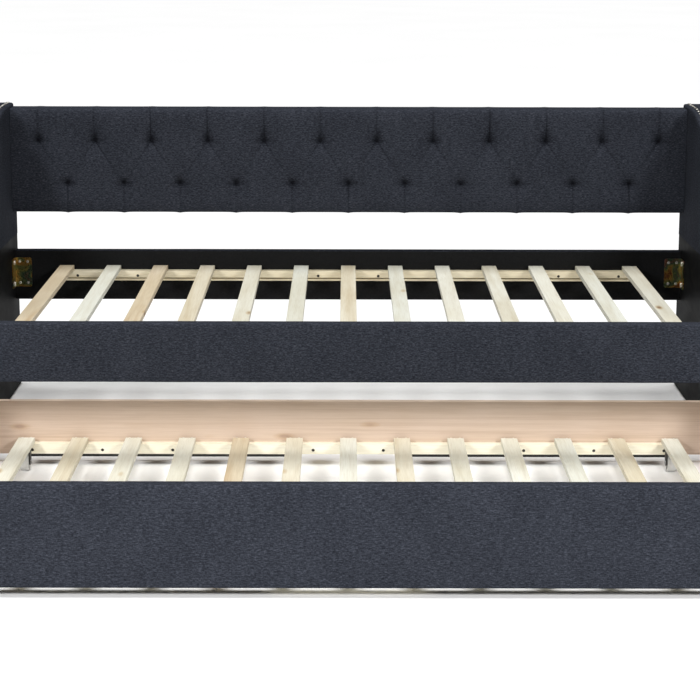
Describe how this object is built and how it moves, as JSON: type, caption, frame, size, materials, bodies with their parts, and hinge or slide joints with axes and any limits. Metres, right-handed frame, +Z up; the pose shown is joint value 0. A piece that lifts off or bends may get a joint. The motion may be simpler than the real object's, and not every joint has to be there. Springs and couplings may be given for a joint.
{
  "type": "trundle bed",
  "caption": "Upholstered daybed with sloping arms, button-tufted back panel and slatted deck, over a slatted trundle that rolls out on casters.",
  "frame": {"origin": "on the floor, at the middle of the space that the bed takes with its trundle pulled out as shown", "axes": "+X runs along the bed to the right seen from the front, +Y points from the open front to the back, +Z is up"},
  "size_m": [2.116, 1.938, 0.8381],
  "materials": {
    "linen": "matte",
    "black_lining": "matte",
    "core_board": "matte",
    "frame_wood": "matte",
    "pine": "satin",
    "tan_board": "satin",
    "yellow_zinc": "satin",
    "pewter": "satin",
    "dark_screw": "satin",
    "black_steel": "satin",
    "bright_steel": "satin",
    "wheel_nylon": "satin",
    "glide_plastic": "satin"
  },
  "bodies": {
    "daybed": {"arm_core_left": "core_board", "arm_core_right": "core_board", "arm_cover_left": "linen", "arm_cover_right": "linen", "lining_cloths": "black_lining", "arm_nailheads": "pewter", "floor_glides": "glide_plastic", "back_panel_board": "frame_wood", "back_panel_pad": "linen", "back_panel_buttons": "linen", "back_rail_board": "frame_wood", "back_rail_cover": "linen", "front_rail_board": "frame_wood", "front_rail_cover": "linen", "deck_ledger_rear": "pine", "deck_ledger_front": "pine", "corner_brackets": "yellow_zinc", "frame_bolts": "yellow_zinc", "deck_screws": "dark_screw", "deck_slat_01": "pine", "deck_slat_02": "pine", "deck_slat_03": "pine", "deck_slat_04": "pine", "deck_slat_05": "pine", "deck_slat_06": "pine", "deck_slat_07": "pine", "deck_slat_08": "pine", "deck_slat_09": "pine", "deck_slat_10": "pine", "deck_slat_11": "pine", "deck_slat_12": "pine", "deck_slat_13": "pine"},
    "trundle": {"trundle_front_board": "frame_wood", "trundle_front_cover": "linen", "trundle_rear_board": "tan_board", "trundle_end_board_left": "tan_board", "trundle_end_board_right": "tan_board", "trundle_ledger_rear": "pine", "trundle_ledger_front": "pine", "trundle_screws": "dark_screw", "trundle_slat_01": "pine", "trundle_slat_02": "pine", "trundle_slat_03": "pine", "trundle_slat_04": "pine", "trundle_slat_05": "pine", "trundle_slat_06": "pine", "trundle_slat_07": "pine", "trundle_slat_08": "pine", "trundle_slat_09": "pine", "trundle_slat_10": "pine", "trundle_slat_11": "pine", "trundle_slat_12": "pine", "trundle_slat_13": "pine", "base_strips": "black_steel", "caster_forks": "black_steel", "caster_axles": "bright_steel"},
    "wheel_front_left": {"wheel_front_left": "wheel_nylon"},
    "wheel_front_right": {"wheel_front_right": "wheel_nylon"},
    "wheel_rear_left": {"wheel_rear_left": "wheel_nylon"},
    "wheel_rear_right": {"wheel_rear_right": "wheel_nylon"}
  },
  "joints": [
    {"name": "trundle_slide", "type": "slide", "parent": "daybed", "child": "trundle", "axis": [0, -1, 0], "range_m": [-0.807, 0.45]},
    {"name": "wheel_front_left_roll", "type": "hinge", "parent": "trundle", "child": "wheel_front_left", "pos_m": [-0.814, -0.857, 0.022], "axis": [1, 0, 0], "continuous": true},
    {"name": "wheel_front_right_roll", "type": "hinge", "parent": "trundle", "child": "wheel_front_right", "pos_m": [0.814, -0.857, 0.022], "axis": [1, 0, 0], "continuous": true},
    {"name": "wheel_rear_left_roll", "type": "hinge", "parent": "trundle", "child": "wheel_rear_left", "pos_m": [-0.814, 0.006, 0.022], "axis": [1, 0, 0], "continuous": true},
    {"name": "wheel_rear_right_roll", "type": "hinge", "parent": "trundle", "child": "wheel_rear_right", "pos_m": [0.814, 0.006, 0.022], "axis": [1, 0, 0], "continuous": true}
  ],
  "couplings": [
    {"joint": "wheel_front_left_roll", "follows": "trundle_slide", "rad_per_m": 45.455},
    {"joint": "wheel_front_right_roll", "follows": "trundle_slide", "rad_per_m": 45.455},
    {"joint": "wheel_rear_left_roll", "follows": "trundle_slide", "rad_per_m": 45.455},
    {"joint": "wheel_rear_right_roll", "follows": "trundle_slide", "rad_per_m": 45.455}
  ]
}
